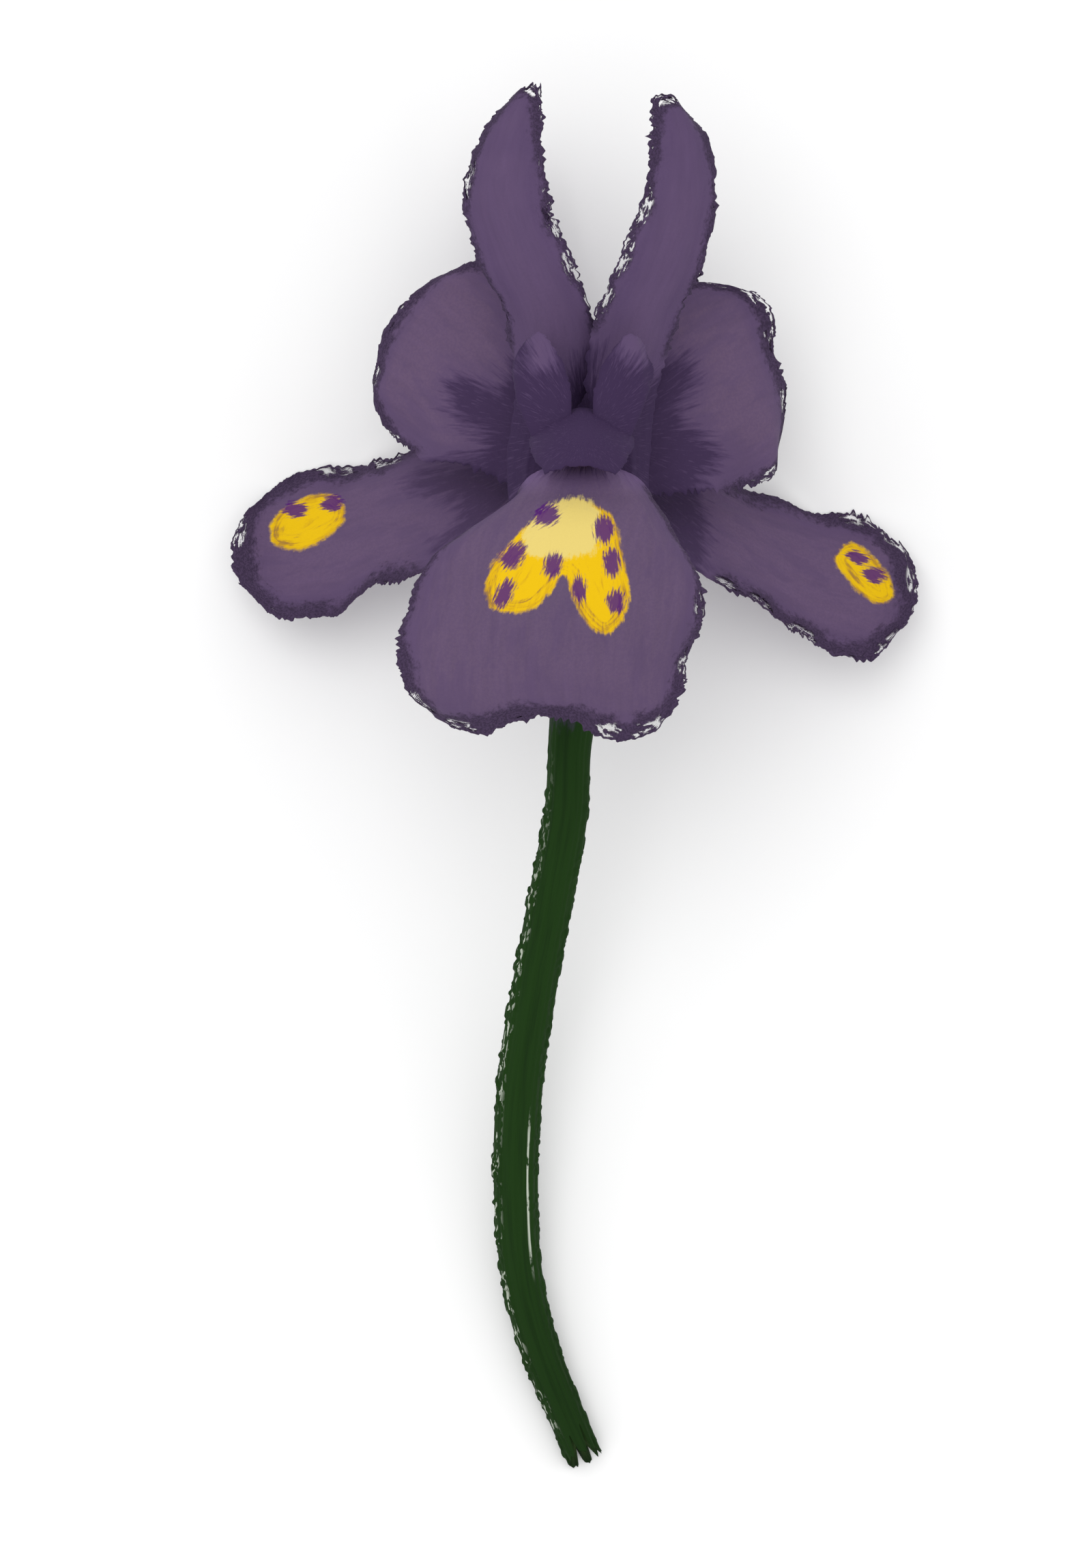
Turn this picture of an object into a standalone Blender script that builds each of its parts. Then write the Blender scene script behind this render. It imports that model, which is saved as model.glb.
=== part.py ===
"""A cut netted iris bloom on its stem, lying on its back on a flat surface.

The row frame has +Z up. The surface is z = 0, +Y runs from the cut end of the stem to the tips of the
standards, and the open face of the bloom looks up along +Z. The origin lies on the surface, under the
middle of the flower's bounding box.

The bloom has the parts of a real netted iris: three falls with their claws, three standards, three
style arms, and a stamen under each style arm. All of them stand on the flared top of the stem. The
side falls and the cut end of the stem carry the flower: each has a small flat on the surface.

Every petal is one thin blade. It is given by a few stations from root to tip, and each station is
three points: the left margin, the rib and the right margin, as seen by an ant that walks out from the
throat on the petal's inner face. A parabola joins the three points, and a smooth curve joins the
stations.
"""

import math

import bmesh
import bpy
import numpy as np
from mathutils import Vector

MM = 0.001

# Driving sizes, in millimetres. The axis is that of the stem's flared top and of the ring of petals.
STEM_RADIUS = 2.05
STEM_END_RADIUS = 1.65
TUBE_RADIUS = 4.1
TUBE_TOP = 15.0
AXIS_X = 0.2
AXIS_Z = 18.0
GAP = 0.3
ROOT = TUBE_TOP + GAP
CLAW_TOP = ROOT + 2.0
CLAW_RING = 3.4
CLAW_HALF_ANGLE = math.radians(25)
FILAMENT_RING = 2.25
STYLE_RING = 1.2
STYLE_HALF_WIDTH = 0.8
CUT_SLANT = 0.45
CUTTER_SIZE = 200.0

# Blade thickness at the rib and, as a share of it, at the margins.
FALL_THICKNESS = 0.95
STANDARD_THICKNESS = 0.85
STYLE_THICKNESS = 0.85
MARGIN_SHARE = 0.75

# Ripples along a petal's margins: their height in millimetres, and how many there are from root to tip.
FRONT_FALL_RIPPLE = (0.6, 3.5)
SIDE_FALL_RIPPLE = (0.35, 4.0)
STANDARD_RIPPLE = (0.35, 3.0)
STYLE_RIPPLE = (0.5, 3.5)
NO_RIPPLE = (0.0, 0.0)
FRONT_FALL_LOBES = 1.8
RIGHT_STYLE_LOBES = 1.0

# Directions of the petals around the flower's axis, from +X towards +Z.
FRONT = math.radians(90)
LEFT_BACK = math.radians(210)
RIGHT_BACK = math.radians(330)
LEFT_FORE = math.radians(150)
RIGHT_FORE = math.radians(30)
BACK = math.radians(270)

PURPLE = (0.13, 0.085, 0.155, 1.0)
LIGHT_PURPLE = (0.138, 0.089, 0.156, 1.0)
GREEN = (0.014, 0.042, 0.010, 1.0)
POLLEN = (0.80, 0.62, 0.20, 1.0)


def clear_scene():
    for obj in list(bpy.data.objects):
        bpy.data.objects.remove(obj, do_unlink=True)


def material(name, colour, roughness):
    """A plain finish: its colour from the flower, not metallic."""
    made = bpy.data.materials.new(name)
    made.use_nodes = True
    shader = made.node_tree.nodes["Principled BSDF"]
    shader.inputs["Base Color"].default_value = colour
    shader.inputs["Roughness"].default_value = roughness
    shader.inputs["Metallic"].default_value = 0.0
    return made


def add_object(name, mesh, finish):
    mesh.materials.append(finish)
    mesh.shade_smooth()
    mesh.set_sharp_from_angle(angle=math.radians(50))
    made = bpy.data.objects.new(name, mesh)
    bpy.context.scene.collection.objects.link(made)
    return made


def smooth_through(points, shares):
    """A curve through the points, read at shares of its length: cubic pieces whose slopes at each
    point are those of its neighbours. Points may carry any number of values each."""
    points = np.array(points, float)
    flat = points.reshape(len(points), -1)
    middle = points[:, 1] if points.ndim == 3 else flat[:, :3]
    steps = np.linalg.norm(np.diff(middle, axis=0), axis=1)
    knots = np.concatenate([[0.0], np.cumsum(steps)]) / steps.sum()
    slopes = np.gradient(flat, knots, axis=0)
    span = np.clip(np.searchsorted(knots, shares, side="right") - 1, 0, len(knots) - 2)
    width = (knots[span + 1] - knots[span])[:, None]
    u = (np.asarray(shares) - knots[span])[:, None] / width
    found = (
        (2 * u**3 - 3 * u**2 + 1) * flat[span]
        + (u**3 - 2 * u**2 + u) * width * slopes[span]
        + (3 * u**2 - 2 * u**3) * flat[span + 1]
        + (u**3 - u**2) * width * slopes[span + 1]
    )
    return found.reshape(len(found), *points.shape[1:])


def ring_point(direction, radius, along=ROOT):
    """A point at that direction and distance from the flower's axis, by default at the petals' roots."""
    return (AXIS_X + radius * math.cos(direction), along, AXIS_Z + radius * math.sin(direction))


def claw(direction, along=ROOT):
    """A station of a fall or a standard in its straight claw: an arc of the ring of claws."""
    return tuple(
        ring_point(direction + turn, CLAW_RING, along)
        for turn in (-CLAW_HALF_ANGLE, 0.0, CLAW_HALF_ANGLE)
    )


def style_foot(direction, along=ROOT):
    """A station of a style arm in its straight foot: a short edge near the axis."""
    x, y, z = ring_point(direction, STYLE_RING, along)
    return tuple(
        (x + side * math.sin(direction), y, z - side * math.cos(direction))
        for side in (STYLE_HALF_WIDTH, 0.0, -STYLE_HALF_WIDTH)
    )


def blade_points(stations, rows, columns, ripple, phase, lobes):
    """The middle surface of a petal, as an array of rows by columns of points in millimetres.

    Each row is the parabola through the left margin, the rib and the right margin. The ripples run
    along the margins and grow from nothing at the rib and at the root; phase shifts them, the other way
    on each side. lobes pushes the tip out by that much on both sides of a notch at the rib.
    """
    shares = np.linspace(0, 1, rows)
    across = np.linspace(-1, 1, columns)[None, :, None]
    left, rib, right = np.moveaxis(smooth_through(stations, shares), 1, 0)[:, :, None, :]
    points = rib + across * (right - left) / 2 + across**2 * ((left + right) / 2 - rib)
    along = np.gradient(points, axis=0)
    along /= np.linalg.norm(along, axis=2, keepdims=True)
    normal = np.cross(np.gradient(points, axis=1), along)
    normal /= np.linalg.norm(normal, axis=2, keepdims=True)
    height, count = ripple
    turn = 2 * math.pi * count * shares[:, None, None] + phase * np.sign(across)
    points = points + normal * height * np.sin(turn) * across**2 * shares[:, None, None]
    tip = np.clip((shares[:, None, None] - 0.6) / 0.4, 0, 1) ** 2
    return points + along * lobes * tip * np.sin(math.pi * across**2)


def blade(name, stations, finish, thickness, rows, columns, ripple=NO_RIPPLE, phase=0.0, lobes=0.0):
    """A petal: its middle surface as triangles, thickened to both sides alike, less at the margins."""
    points = blade_points(stations, rows, columns, ripple, phase, lobes)
    work = bmesh.new()
    grid = [[work.verts.new(Vector(p) * MM) for p in row] for row in points]
    for i in range(rows - 1):
        for j in range(columns - 1):
            a, b = grid[i][j], grid[i][j + 1]
            c, d = grid[i + 1][j + 1], grid[i + 1][j]
            if j < (columns - 1) // 2:
                work.faces.new((a, b, c))
                work.faces.new((a, c, d))
            else:
                work.faces.new((a, b, d))
                work.faces.new((b, c, d))
    mesh = bpy.data.meshes.new(name)
    work.to_mesh(mesh)
    work.free()
    made = add_object(name, mesh, finish)
    from_rib = np.tile(np.abs(np.linspace(-1, 1, columns)), rows)
    rib = made.vertex_groups.new(name="rib")
    for index, distance in enumerate(from_rib):
        rib.add([index], 1.0 - distance**1.5, "REPLACE")
    solid = made.modifiers.new("Thickness", "SOLIDIFY")
    solid.thickness = thickness * MM
    solid.offset = 0.0
    solid.vertex_group = "rib"
    solid.thickness_vertex_group = MARGIN_SHARE
    return made


def tube_mesh(name, path, radii, rings, sides, end_slant=0.0):
    """A round stem along a path, with closed ends. Each ring is square to the path, but the first one
    can be slanted, as a knife leaves it: by end_slant times its radius at its top and bottom."""
    shares = np.linspace(0, 1, rings)
    centres = smooth_through([(*p, r) for p, r in zip(path, radii)], shares)
    radius = centres[:, 3]
    centres = centres[:, :3]
    heading = np.gradient(centres, axis=0)
    heading /= np.linalg.norm(heading, axis=1, keepdims=True)
    side = np.cross(heading, (0.0, 0.0, 1.0))
    side /= np.linalg.norm(side, axis=1, keepdims=True)
    up = np.cross(side, heading)
    work = bmesh.new()
    turns = [2 * math.pi * k / sides for k in range(sides)]
    loops = []
    for i in range(rings):
        slant = end_slant if i == 0 else 0.0
        loop = []
        for turn in turns:
            offset = side[i] * math.cos(turn) + up[i] * math.sin(turn)
            place = centres[i] + radius[i] * (offset + heading[i] * slant * math.sin(turn))
            loop.append(work.verts.new(Vector(place) * MM))
        loops.append(loop)
    for lower, upper in zip(loops, loops[1:]):
        for k in range(sides):
            after = (k + 1) % sides
            work.faces.new((lower[k], lower[after], upper[after], upper[k]))
    work.faces.new(tuple(reversed(loops[0])))
    work.faces.new(tuple(loops[-1]))
    bmesh.ops.recalc_face_normals(work, faces=work.faces)
    mesh = bpy.data.meshes.new(name)
    work.to_mesh(mesh)
    work.free()
    return mesh


def surface_cutter():
    """Everything below the surface, as one block with its top at z = 0."""
    bpy.ops.mesh.primitive_cube_add(size=CUTTER_SIZE * MM, location=(0, 0, -CUTTER_SIZE / 2 * MM))
    cutter = bpy.context.object
    cutter.name = "below_surface"
    cutter.hide_render = True
    cutter.display_type = "WIRE"
    return cutter


def rest_on_surface(piece, cutter):
    """Plane a small flat on a piece where it meets the surface."""
    cut = piece.modifiers.new("Rest", "BOOLEAN")
    cut.operation = "DIFFERENCE"
    cut.object = cutter


# Stations of the petals, in millimetres, each (left margin, rib, right margin).

FALL_FRONT = [
    claw(FRONT),
    claw(FRONT, CLAW_TOP),
    ((2.3, 20.5, 22.6), (0.2, 20.5, 23.4), (-1.9, 20.5, 22.6)),
    ((3.3, 25.2, 25.0), (0.3, 25.8, 26.2), (-2.8, 25.2, 25.0)),
    ((4.8, 27.8, 29.2), (0.4, 28.9, 30.4), (-4.2, 27.8, 29.2)),
    ((7.6, 24.9, 33.0), (0.2, 28.0, 35.0), (-6.9, 25.0, 32.8)),
    ((10.3, 20.6, 34.6), (-0.3, 23.8, 37.9), (-12.8, 20.4, 34.0)),
    ((11.6, 15.8, 34.8), (-1.2, 17.8, 38.9), (-16.0, 15.3, 33.4)),
    ((10.6, 10.8, 34.0), (-2.2, 11.6, 38.0), (-16.1, 10.2, 32.7)),
    ((9.0, 7.2, 33.3), (-2.9, 7.6, 36.6), (-14.5, 6.7, 32.1)),
    ((7.0, 4.3, 32.9), (-3.2, 5.7, 35.4), (-12.0, 4.5, 31.8)),
]

FALL_LEFT = [
    claw(LEFT_BACK),
    claw(LEFT_BACK, CLAW_TOP),
    ((-5.6, 19.6, 17.0), (-4.2, 20.6, 14.8), (-3.0, 21.6, 12.6)),
    ((-9.0, 21.4, 15.8), (-6.8, 25.0, 12.4), (-5.4, 27.8, 9.2)),
    ((-14.9, 19.0, 13.0), (-11.6, 26.4, 9.8), (-10.0, 31.0, 6.2)),
    ((-19.4, 17.5, 10.6), (-17.6, 25.0, 7.0), (-16.6, 30.4, 3.0)),
    ((-23.0, 15.3, 9.0), (-22.6, 23.2, 4.8), (-21.6, 29.2, 0.5)),
    ((-27.6, 14.9, 7.4), (-27.6, 22.0, 3.6), (-27.1, 28.5, -0.1)),
    ((-31.6, 18.2, 5.8), (-32.4, 21.6, 4.0), (-31.0, 25.1, 1.9)),
]

FALL_RIGHT = [
    claw(RIGHT_BACK),
    claw(RIGHT_BACK, CLAW_TOP),
    ((3.6, 21.4, 12.6), (4.6, 20.3, 14.8), (6.0, 19.2, 17.0)),
    ((6.2, 27.0, 9.2), (7.4, 24.0, 12.4), (9.4, 20.2, 15.8)),
    ((11.2, 28.8, 6.0), (12.0, 24.4, 9.6), (14.6, 17.4, 12.8)),
    ((17.0, 26.8, 2.8), (17.6, 21.6, 6.8), (19.4, 14.6, 10.4)),
    ((21.9, 25.2, 0.5), (22.4, 19.2, 4.8), (22.6, 12.2, 8.8)),
    ((26.9, 24.6, -0.1), (27.4, 17.7, 3.6), (27.8, 11.3, 7.2)),
    ((31.4, 21.2, 1.9), (32.3, 17.6, 4.0), (30.8, 14.0, 5.8)),
]

STANDARD_LEFT = [
    claw(LEFT_FORE),
    claw(LEFT_FORE, CLAW_TOP),
    ((-2.7, 22.0, 22.0), (-4.2, 22.0, 21.0), (-5.6, 22.0, 19.6)),
    ((-2.6, 29.0, 24.2), (-4.4, 29.0, 23.4), (-6.4, 29.0, 21.4)),
    ((0.9, 36.0, 26.0), (-2.6, 36.0, 26.0), (-5.8, 36.0, 23.8)),
    ((1.7, 42.1, 27.6), (-2.7, 42.6, 27.9), (-6.7, 43.2, 25.8)),
    ((-0.2, 47.8, 30.0), (-4.8, 47.8, 29.4), (-9.2, 48.8, 26.7)),
    ((-2.4, 53.2, 30.4), (-6.5, 53.6, 29.8), (-10.7, 54.6, 26.9)),
    ((-3.1, 58.6, 29.4), (-6.1, 58.6, 29.0), (-9.1, 59.2, 26.4)),
    ((-3.2, 63.8, 27.4), (-4.2, 64.3, 27.0), (-5.6, 63.3, 25.8)),
]

STANDARD_RIGHT = [
    claw(RIGHT_FORE),
    claw(RIGHT_FORE, CLAW_TOP),
    ((6.0, 22.0, 19.6), (4.6, 22.0, 21.0), (3.1, 22.0, 22.0)),
    ((6.8, 29.0, 21.4), (4.9, 29.0, 23.4), (3.1, 29.0, 24.2)),
    ((7.3, 35.6, 23.6), (4.5, 35.6, 26.2), (0.9, 35.6, 27.6)),
    ((9.0, 41.6, 25.6), (5.6, 41.8, 28.2), (1.3, 42.2, 29.1)),
    ((11.9, 47.8, 26.8), (8.2, 48.4, 29.5), (4.2, 48.8, 30.2)),
    ((12.7, 54.2, 27.0), (9.6, 54.2, 29.8), (6.2, 54.2, 30.2)),
    ((12.0, 59.7, 26.3), (9.4, 59.2, 28.8), (6.8, 59.2, 29.2)),
    ((9.6, 62.9, 25.8), (8.3, 63.4, 27.0), (7.1, 62.8, 27.4)),
]

STANDARD_REAR = [
    claw(BACK),
    claw(BACK, CLAW_TOP),
    ((-1.9, 20.5, 13.4), (0.2, 20.5, 12.8), (2.3, 20.5, 13.4)),
    ((-3.0, 26.0, 10.8), (0.2, 26.0, 9.6), (3.3, 26.0, 10.8)),
    ((-4.1, 32.0, 8.4), (0.1, 32.0, 6.8), (4.2, 32.0, 8.4)),
    ((-4.9, 38.2, 6.8), (-0.7, 38.2, 5.0), (3.5, 38.0, 6.6)),
    ((-6.4, 44.6, 6.2), (-2.7, 44.2, 4.2), (0.8, 43.2, 6.0)),
    ((-8.2, 50.8, 6.4), (-5.0, 50.4, 4.8), (-1.9, 50.0, 6.2)),
    ((-8.4, 56.2, 7.4), (-6.3, 56.2, 6.2), (-4.0, 56.2, 7.2)),
    ((-7.0, 59.6, 8.2), (-6.3, 60.0, 7.8), (-5.5, 59.6, 8.2)),
]

STYLE_LEFT = [
    style_foot(LEFT_BACK),
    style_foot(LEFT_BACK, CLAW_TOP),
    ((-2.3, 21.0, 18.8), (-1.5, 22.0, 18.2), (-0.7, 22.4, 17.4)),
    ((-4.9, 26.2, 18.4), (-3.2, 28.8, 19.2), (-1.2, 30.2, 18.8)),
    ((-9.6, 28.8, 17.2), (-6.8, 34.2, 19.0), (-2.6, 38.2, 19.6)),
    ((-14.4, 29.8, 14.8), (-10.6, 38.2, 17.4), (-4.6, 44.6, 18.4)),
    ((-17.6, 32.5, 12.8), (-14.5, 41.0, 14.8), (-8.3, 47.9, 16.2)),
    ((-18.9, 37.0, 11.2), (-17.3, 42.8, 12.4), (-12.8, 47.0, 14.0)),
]

STYLE_RIGHT = [
    style_foot(RIGHT_BACK),
    style_foot(RIGHT_BACK, CLAW_TOP),
    ((1.1, 22.4, 17.4), (1.9, 22.0, 18.2), (2.7, 21.0, 18.8)),
    ((1.8, 29.8, 18.8), (3.9, 28.2, 19.2), (5.4, 25.2, 18.4)),
    ((3.8, 37.2, 19.6), (7.8, 32.8, 19.0), (10.0, 26.6, 17.2)),
    ((6.8, 43.0, 18.4), (12.0, 36.2, 17.4), (14.8, 26.9, 14.8)),
    ((11.0, 46.3, 16.2), (16.0, 38.9, 14.8), (18.4, 28.6, 12.7)),
    ((16.6, 45.4, 13.9), (18.7, 39.4, 12.5), (19.6, 32.8, 11.1)),
]

STYLE_FRONT = [
    style_foot(FRONT),
    style_foot(FRONT, CLAW_TOP),
    ((1.4, 22.0, 20.8), (0.3, 22.2, 20.4), (-0.8, 22.0, 20.8)),
    ((2.8, 27.4, 24.6), (0.4, 28.2, 23.8), (-2.0, 27.4, 24.6)),
    ((4.4, 31.0, 29.6), (0.5, 32.8, 28.8), (-3.4, 31.0, 29.6)),
    ((5.2, 31.2, 33.8), (0.5, 33.8, 33.6), (-4.2, 31.2, 33.8)),
    ((4.9, 29.6, 36.6), (0.4, 32.0, 37.6), (-4.1, 29.6, 36.6)),
    ((3.6, 27.9, 38.4), (0.3, 28.6, 39.9), (-3.0, 27.9, 38.4)),
]

# The two upright crests at the end of the front style arm. Their roots are sunk in the arm.
CREST_LEFT = [
    ((-4.0, 31.0, 35.6), (-2.2, 32.2, 35.8), (-0.5, 32.6, 36.0)),
    ((-5.6, 35.0, 33.6), (-3.2, 35.4, 34.6), (-0.6, 35.6, 34.6)),
    ((-5.8, 38.4, 31.8), (-3.7, 38.8, 33.0), (-1.6, 38.8, 33.4)),
    ((-4.6, 40.6, 31.0), (-3.7, 41.0, 31.8), (-2.8, 40.8, 32.2)),
]

CREST_RIGHT = [
    ((1.5, 32.6, 36.0), (3.2, 32.2, 35.8), (4.8, 31.0, 35.6)),
    ((1.6, 35.6, 34.6), (4.2, 35.4, 34.6), (6.4, 35.0, 33.6)),
    ((2.8, 38.8, 33.4), (4.9, 38.8, 33.0), (6.8, 38.4, 31.8)),
    ((4.2, 40.8, 32.2), (5.1, 41.0, 31.8), (5.9, 40.6, 31.0)),
]

# Middle line of the stem from its cut end to the flared top, and its radius at each point.
STEM_PATH = [
    (0.6, -63.6, 1.5),
    (-1.3, -59.2, 1.8),
    (-3.3, -54.2, 2.5),
    (-5.1, -47.0, 3.3),
    (-5.7, -38.0, 4.9),
    (-5.2, -28.0, 7.3),
    (-3.8, -19.0, 9.8),
    (-2.2, -10.5, 12.4),
    (-0.9, -3.0, 14.7),
    (-0.6, 3.0, 16.5),
    (-0.1, 8.0, 17.6),
    (AXIS_X, 12.5, AXIS_Z),
    (AXIS_X, TUBE_TOP, AXIS_Z),
]
STEM_RADII = [
    STEM_END_RADIUS, 1.7, 1.8, 1.9, 2.05, 2.1, STEM_RADIUS, STEM_RADIUS, 2.0, 2.0, 2.4, 3.4,
    TUBE_RADIUS,
]

# Filament and anther of each stamen, from root to tip, and the radius at each point.
STAMEN_RADII = [0.4, 0.4, 0.4, 0.4, 0.4, 0.75, 0.8, 0.7, 0.3]
STAMEN_FRONT = [
    ring_point(FRONT, FILAMENT_RING),
    ring_point(FRONT, FILAMENT_RING, CLAW_TOP),
    (0.25, 20.4, 21.2),
    (0.3, 24.4, 23.2),
    (0.35, 27.8, 25.6),
    (0.4, 29.9, 28.0),
    (0.4, 31.4, 30.6),
    (0.4, 31.8, 33.0),
    (0.4, 31.6, 34.6),
]
STAMEN_LEFT = [
    ring_point(LEFT_BACK, FILAMENT_RING),
    ring_point(LEFT_BACK, FILAMENT_RING, CLAW_TOP),
    (-2.4, 21.0, 17.0),
    (-3.5, 24.8, 16.8),
    (-4.9, 28.0, 16.4),
    (-6.2, 30.4, 15.9),
    (-7.6, 32.4, 15.3),
    (-8.8, 34.0, 14.6),
    (-9.6, 35.2, 13.9),
]
STAMEN_RIGHT = [
    ring_point(RIGHT_BACK, FILAMENT_RING),
    ring_point(RIGHT_BACK, FILAMENT_RING, CLAW_TOP),
    (2.8, 21.0, 17.0),
    (3.9, 24.6, 16.8),
    (5.3, 27.4, 16.4),
    (6.8, 29.6, 15.9),
    (8.4, 31.4, 15.3),
    (9.8, 32.8, 14.6),
    (10.8, 33.8, 13.9),
]


def build_falls(finish, cutter):
    blade(
        "fall_front", FALL_FRONT, finish, FALL_THICKNESS, rows=30, columns=13,
        ripple=FRONT_FALL_RIPPLE, phase=1.2, lobes=FRONT_FALL_LOBES,
    )
    for name, stations, phase in (
        ("fall_left", FALL_LEFT, 0.6),
        ("fall_right", FALL_RIGHT, 2.4),
    ):
        fall = blade(
            name, stations, finish, FALL_THICKNESS, rows=26, columns=11,
            ripple=SIDE_FALL_RIPPLE, phase=phase,
        )
        rest_on_surface(fall, cutter)


def build_standards(finish):
    for name, stations, phase in (
        ("standard_left", STANDARD_LEFT, -0.9),
        ("standard_right", STANDARD_RIGHT, -2.0),
        ("standard_rear", STANDARD_REAR, 0.4),
    ):
        blade(
            name, stations, finish, STANDARD_THICKNESS, rows=26, columns=7,
            ripple=STANDARD_RIPPLE, phase=phase,
        )


def build_side_styles(finish):
    for name, stations, phase, lobes in (
        ("style_left", STYLE_LEFT, 0.2, 0.0),
        ("style_right", STYLE_RIGHT, 1.7, RIGHT_STYLE_LOBES),
    ):
        blade(
            name, stations, finish, STYLE_THICKNESS, rows=22, columns=11,
            ripple=STYLE_RIPPLE, phase=phase, lobes=lobes,
        )


def build_front_style(finish):
    """The style arm over the front fall, with its two crests joined to it."""
    arm = blade("style_front", STYLE_FRONT, finish, STYLE_THICKNESS, rows=20, columns=9)
    crests = bpy.data.collections.new("crests")
    bpy.context.scene.collection.children.link(crests)
    for name, stations in (("crest_left", CREST_LEFT), ("crest_right", CREST_RIGHT)):
        crest = blade(name, stations, finish, STYLE_THICKNESS, rows=10, columns=7)
        bpy.context.scene.collection.objects.unlink(crest)
        crests.objects.link(crest)
    join = arm.modifiers.new("Crests", "BOOLEAN")
    join.operation = "UNION"
    join.operand_type = "COLLECTION"
    join.collection = crests
    graph = bpy.context.evaluated_depsgraph_get()
    joined = bpy.data.meshes.new_from_object(arm.evaluated_get(graph))
    arm.modifiers.clear()
    arm.data = joined
    for crest in list(crests.objects):
        bpy.data.objects.remove(crest, do_unlink=True)
    bpy.data.collections.remove(crests)


def build_stem(finish, cutter):
    mesh = tube_mesh("stem", STEM_PATH, STEM_RADII, rings=44, sides=14, end_slant=CUT_SLANT)
    rest_on_surface(add_object("stem", mesh, finish), cutter)


def build_stamens(finish):
    for name, path in (
        ("stamen_front", STAMEN_FRONT),
        ("stamen_left", STAMEN_LEFT),
        ("stamen_right", STAMEN_RIGHT),
    ):
        add_object(name, tube_mesh(name, path, STAMEN_RADII, rings=18, sides=8), finish)


def main():
    clear_scene()
    petal = material("petal", PURPLE, 0.6)
    style = material("style", LIGHT_PURPLE, 0.6)
    green = material("stem", GREEN, 0.5)
    pollen = material("stamen", POLLEN, 0.8)
    cutter = surface_cutter()
    build_falls(petal, cutter)
    build_standards(petal)
    build_side_styles(style)
    build_front_style(style)
    build_stem(green, cutter)
    build_stamens(pollen)


main()
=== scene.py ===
"""The looks of a cut netted iris bloom, lying on its back, seen from straight above.

Every petal is a thin shell over the same stations as its solid, with a finer grid, a soft ripple,
veins, a rib and a frayed margin. The purple is painted by the petal's own attributes and by the place
on the flower: a dark throat whose streaks run out over the petals, with painted shade in its hollow
and on the petal margins there, a paler bend on the front fall that is partly painted light, soft
margins with a dry dark rim, and yellow signal patches with purple spots on the falls. The stem's pale
flecks are partly painted sheen.
"""

import math

import bpy
import numpy as np
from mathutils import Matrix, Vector


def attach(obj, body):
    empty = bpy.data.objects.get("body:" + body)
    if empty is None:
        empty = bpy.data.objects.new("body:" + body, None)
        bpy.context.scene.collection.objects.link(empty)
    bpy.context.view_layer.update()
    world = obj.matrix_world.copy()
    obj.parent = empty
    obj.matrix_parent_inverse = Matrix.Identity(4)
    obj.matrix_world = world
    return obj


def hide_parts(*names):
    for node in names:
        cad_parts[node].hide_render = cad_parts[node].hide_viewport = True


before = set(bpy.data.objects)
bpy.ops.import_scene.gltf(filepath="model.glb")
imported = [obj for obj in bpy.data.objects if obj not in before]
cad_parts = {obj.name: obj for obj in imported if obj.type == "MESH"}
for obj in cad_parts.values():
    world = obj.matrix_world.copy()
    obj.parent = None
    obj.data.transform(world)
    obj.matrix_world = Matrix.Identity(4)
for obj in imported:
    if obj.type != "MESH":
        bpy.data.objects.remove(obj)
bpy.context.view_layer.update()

MM = 0.001

# Sizes in millimetres, as in the solids.
AXIS = (0.2, 18.0)
TUBE_TOP = 15.0
ROOT = 15.3
CLAW_TOP = 17.3
CLAW_RING = 3.4
CLAW_HALF_ANGLE = math.radians(25)
FILAMENT_RING = 2.25
STYLE_RING = 1.2
STYLE_HALF_WIDTH = 0.8
CUT_SLANT = 0.45

# Half the thickness of a petal at its rib and at its margins, and how far a frayed edge reaches inwards.
HALF_THICKNESS = (0.38, 0.15)
FRAY_REACH = 0.35

FRONT = math.radians(90)
LEFT_BACK = math.radians(210)
RIGHT_BACK = math.radians(330)
LEFT_FORE = math.radians(150)
RIGHT_FORE = math.radians(30)
BACK = math.radians(270)


def ring_point(direction, radius, along=ROOT):
    """A point at that direction and distance from the flower's axis."""
    return (AXIS[0] + radius * math.cos(direction), along, AXIS[1] + radius * math.sin(direction))


def claw(direction, along=ROOT):
    """Left margin, rib and right margin of a petal in its straight claw, on the ring of claws."""
    return tuple(
        ring_point(direction + turn, CLAW_RING, along)
        for turn in (-CLAW_HALF_ANGLE, 0.0, CLAW_HALF_ANGLE)
    )


def style_foot(direction, along=ROOT):
    """Left margin, middle and right margin of a style arm in its straight foot."""
    x, y, z = ring_point(direction, STYLE_RING, along)
    return tuple(
        (x + side * math.sin(direction), y, z - side * math.cos(direction))
        for side in (STYLE_HALF_WIDTH, 0.0, -STYLE_HALF_WIDTH)
    )


# Stations of the petals, in millimetres, each (left margin, rib, right margin), as in the solids.

FALL_FRONT = [
    claw(FRONT),
    claw(FRONT, CLAW_TOP),
    ((2.3, 20.5, 22.6), (0.2, 20.5, 23.4), (-1.9, 20.5, 22.6)),
    ((3.3, 25.2, 25.0), (0.3, 25.8, 26.2), (-2.8, 25.2, 25.0)),
    ((4.8, 27.8, 29.2), (0.4, 28.9, 30.4), (-4.2, 27.8, 29.2)),
    ((7.6, 24.9, 33.0), (0.2, 28.0, 35.0), (-6.9, 25.0, 32.8)),
    ((10.3, 20.6, 34.6), (-0.3, 23.8, 37.9), (-12.8, 20.4, 34.0)),
    ((11.6, 15.8, 34.8), (-1.2, 17.8, 38.9), (-16.0, 15.3, 33.4)),
    ((10.6, 10.8, 34.0), (-2.2, 11.6, 38.0), (-16.1, 10.2, 32.7)),
    ((9.0, 7.2, 33.3), (-2.9, 7.6, 36.6), (-14.5, 6.7, 32.1)),
    ((7.0, 4.3, 32.9), (-3.2, 5.7, 35.4), (-12.0, 4.5, 31.8)),
]

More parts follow.
